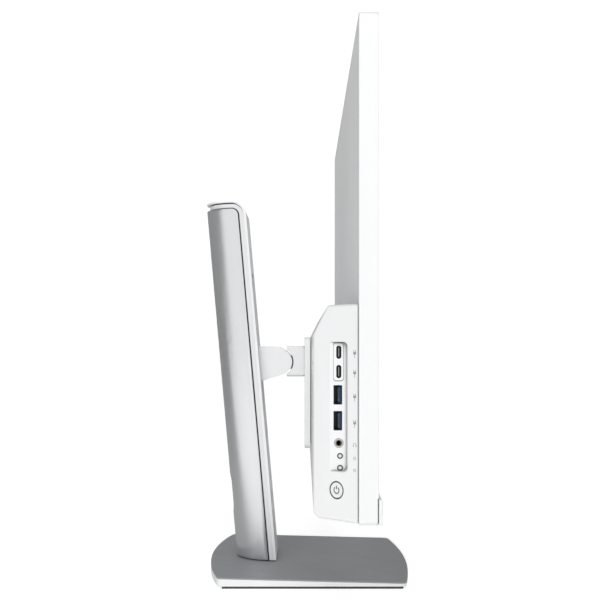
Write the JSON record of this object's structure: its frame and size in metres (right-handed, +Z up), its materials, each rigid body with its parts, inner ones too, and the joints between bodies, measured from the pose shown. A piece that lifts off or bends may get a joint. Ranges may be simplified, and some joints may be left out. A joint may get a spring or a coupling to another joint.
{
  "type": "all-in-one desktop computer",
  "caption": "Thin wide-screen desktop computer with a slanted rear module, side ports and a leaning height-adjustable column on a low wedge base.",
  "frame": {"origin": "middle of the outer box, on the desk", "axes": "+Z up, the screen faces -Y, +X along the screen's width"},
  "size_m": [0.54, 0.1854, 0.4294],
  "materials": {
    "white_shell": "satin white moulding",
    "silver_cover": "fine matt silver-grey",
    "column_band": "satin light grey",
    "column_grey": "satin mid grey",
    "base_grey": "satin mid grey",
    "bezel_black": "semi-gloss black",
    "display": "anti-glare screen, off",
    "black_plastic": "fine matt black",
    "button_white": "satin light grey",
    "lens_grey": "translucent light pipe",
    "usb_blue": "blue moulding",
    "connector_black": "black moulding",
    "board_green": "solder-masked board",
    "flat_cable": "flat cable",
    "steel": "zinc-plated",
    "cast_metal": "as cast",
    "ballast": "blackened plate",
    "drive_case": "bead-blasted",
    "copper": "bare copper",
    "fins": "bare sheet",
    "bearing_plastic": "self-lubricating disc",
    "foot_rubber": "matt rubber"
  },
  "bodies": {
    "base": {"base_tray": "white_shell", "base_top_cover": "base_grey", "base_weight": "ballast", "base_feet": "foot_rubber", "base_screws": "steel", "swivel_disc": "bearing_plastic"},
    "column": {"column_front_cover": "white_shell", "column_band": "column_band", "column_gaskets": "black_plastic", "column_shell": "column_grey", "column_frame": "steel", "column_foot": "cast_metal", "strut_cylinders": "steel", "column_screws": "steel", "swivel_spindle": "steel"},
    "lift": {"arm_cover": "white_shell", "arm_fork": "steel", "tilt_pin": "steel", "friction_washers": "steel", "carriage": "cast_metal", "carriage_pads": "black_plastic", "strut_rods": "steel"},
    "head": {"screen_frame": "white_shell", "front_bezel": "bezel_black", "lcd_panel": "display", "speaker_bar": "white_shell", "speaker_drivers": "black_plastic", "webcam_module": "black_plastic", "chassis_frame": "steel", "rear_cover": "silver_cover", "display_cable": "flat_cable", "module_housing": "white_shell", "module_end_cap": "white_shell", "module_port_strip": "white_shell", "head_screws": "steel", "usb_shells": "steel", "usb_c_tongues": "connector_black", "usb_a_tongues": "usb_blue", "audio_jack": "black_plastic", "indicator_lenses": "lens_grey", "side_port_board": "board_green", "power_button_ring": "black_plastic", "mainboard": "board_green", "board_components": "black_plastic", "plug_in_cards": "board_green", "cooler_base": "copper", "fin_stack": "fins", "blower_housing": "black_plastic", "storage_drive": "drive_case", "mount_bracket": "steel", "ethernet_jack": "black_plastic", "lower_shells": "black_plastic", "dc_inlet": "black_plastic", "mount_plate": "white_shell", "latch_springs": "steel", "pivot_block": "white_shell"},
    "power_button": {"power_button": "button_white"},
    "release_latch": {"release_latch": "black_plastic"},
    "camera_shutter": {"camera_shutter": "black_plastic"},
    "blower_impeller": {"blower_impeller": "black_plastic"}
  },
  "joints": [
    {"name": "swivel", "type": "hinge", "parent": "base", "child": "column", "pos_m": [0, 0.04565, 0.0086], "axis": [0, 0, 1], "range_deg": [-45, 45]},
    {"name": "height", "type": "slide", "parent": "column", "child": "lift", "axis": [0, 0.0872, 0.9962], "range_m": [-0.05, 0.065], "stiffness_N_per_m": 20, "springref_m": 3.2},
    {"name": "tilt", "type": "hinge", "parent": "lift", "child": "head", "pos_m": [0, 0.02505, 0.1895], "axis": [-1, 0, 0], "range_deg": [-5, 20]},
    {"name": "power_press", "type": "slide", "parent": "head", "child": "power_button", "axis": [0.7471, -0.6647, 0], "range_m": [0, 0.0008], "stiffness_N_per_m": 1500, "springref_m": -0.0004},
    {"name": "latch_slide", "type": "slide", "parent": "head", "child": "release_latch", "axis": [0, 0, 1], "range_m": [0, 0.003], "stiffness_N_per_m": 600, "springref_m": -0.002, "deforming": ["latch_springs"]},
    {"name": "shutter_slide", "type": "slide", "parent": "head", "child": "camera_shutter", "axis": [-1, 0, 0], "range_m": [0, 0.009]},
    {"name": "blower_spin", "type": "hinge", "parent": "head", "child": "blower_impeller", "pos_m": [0.185, -0.022, 0.16], "axis": [0, 1, 0], "continuous": true}
  ]
}
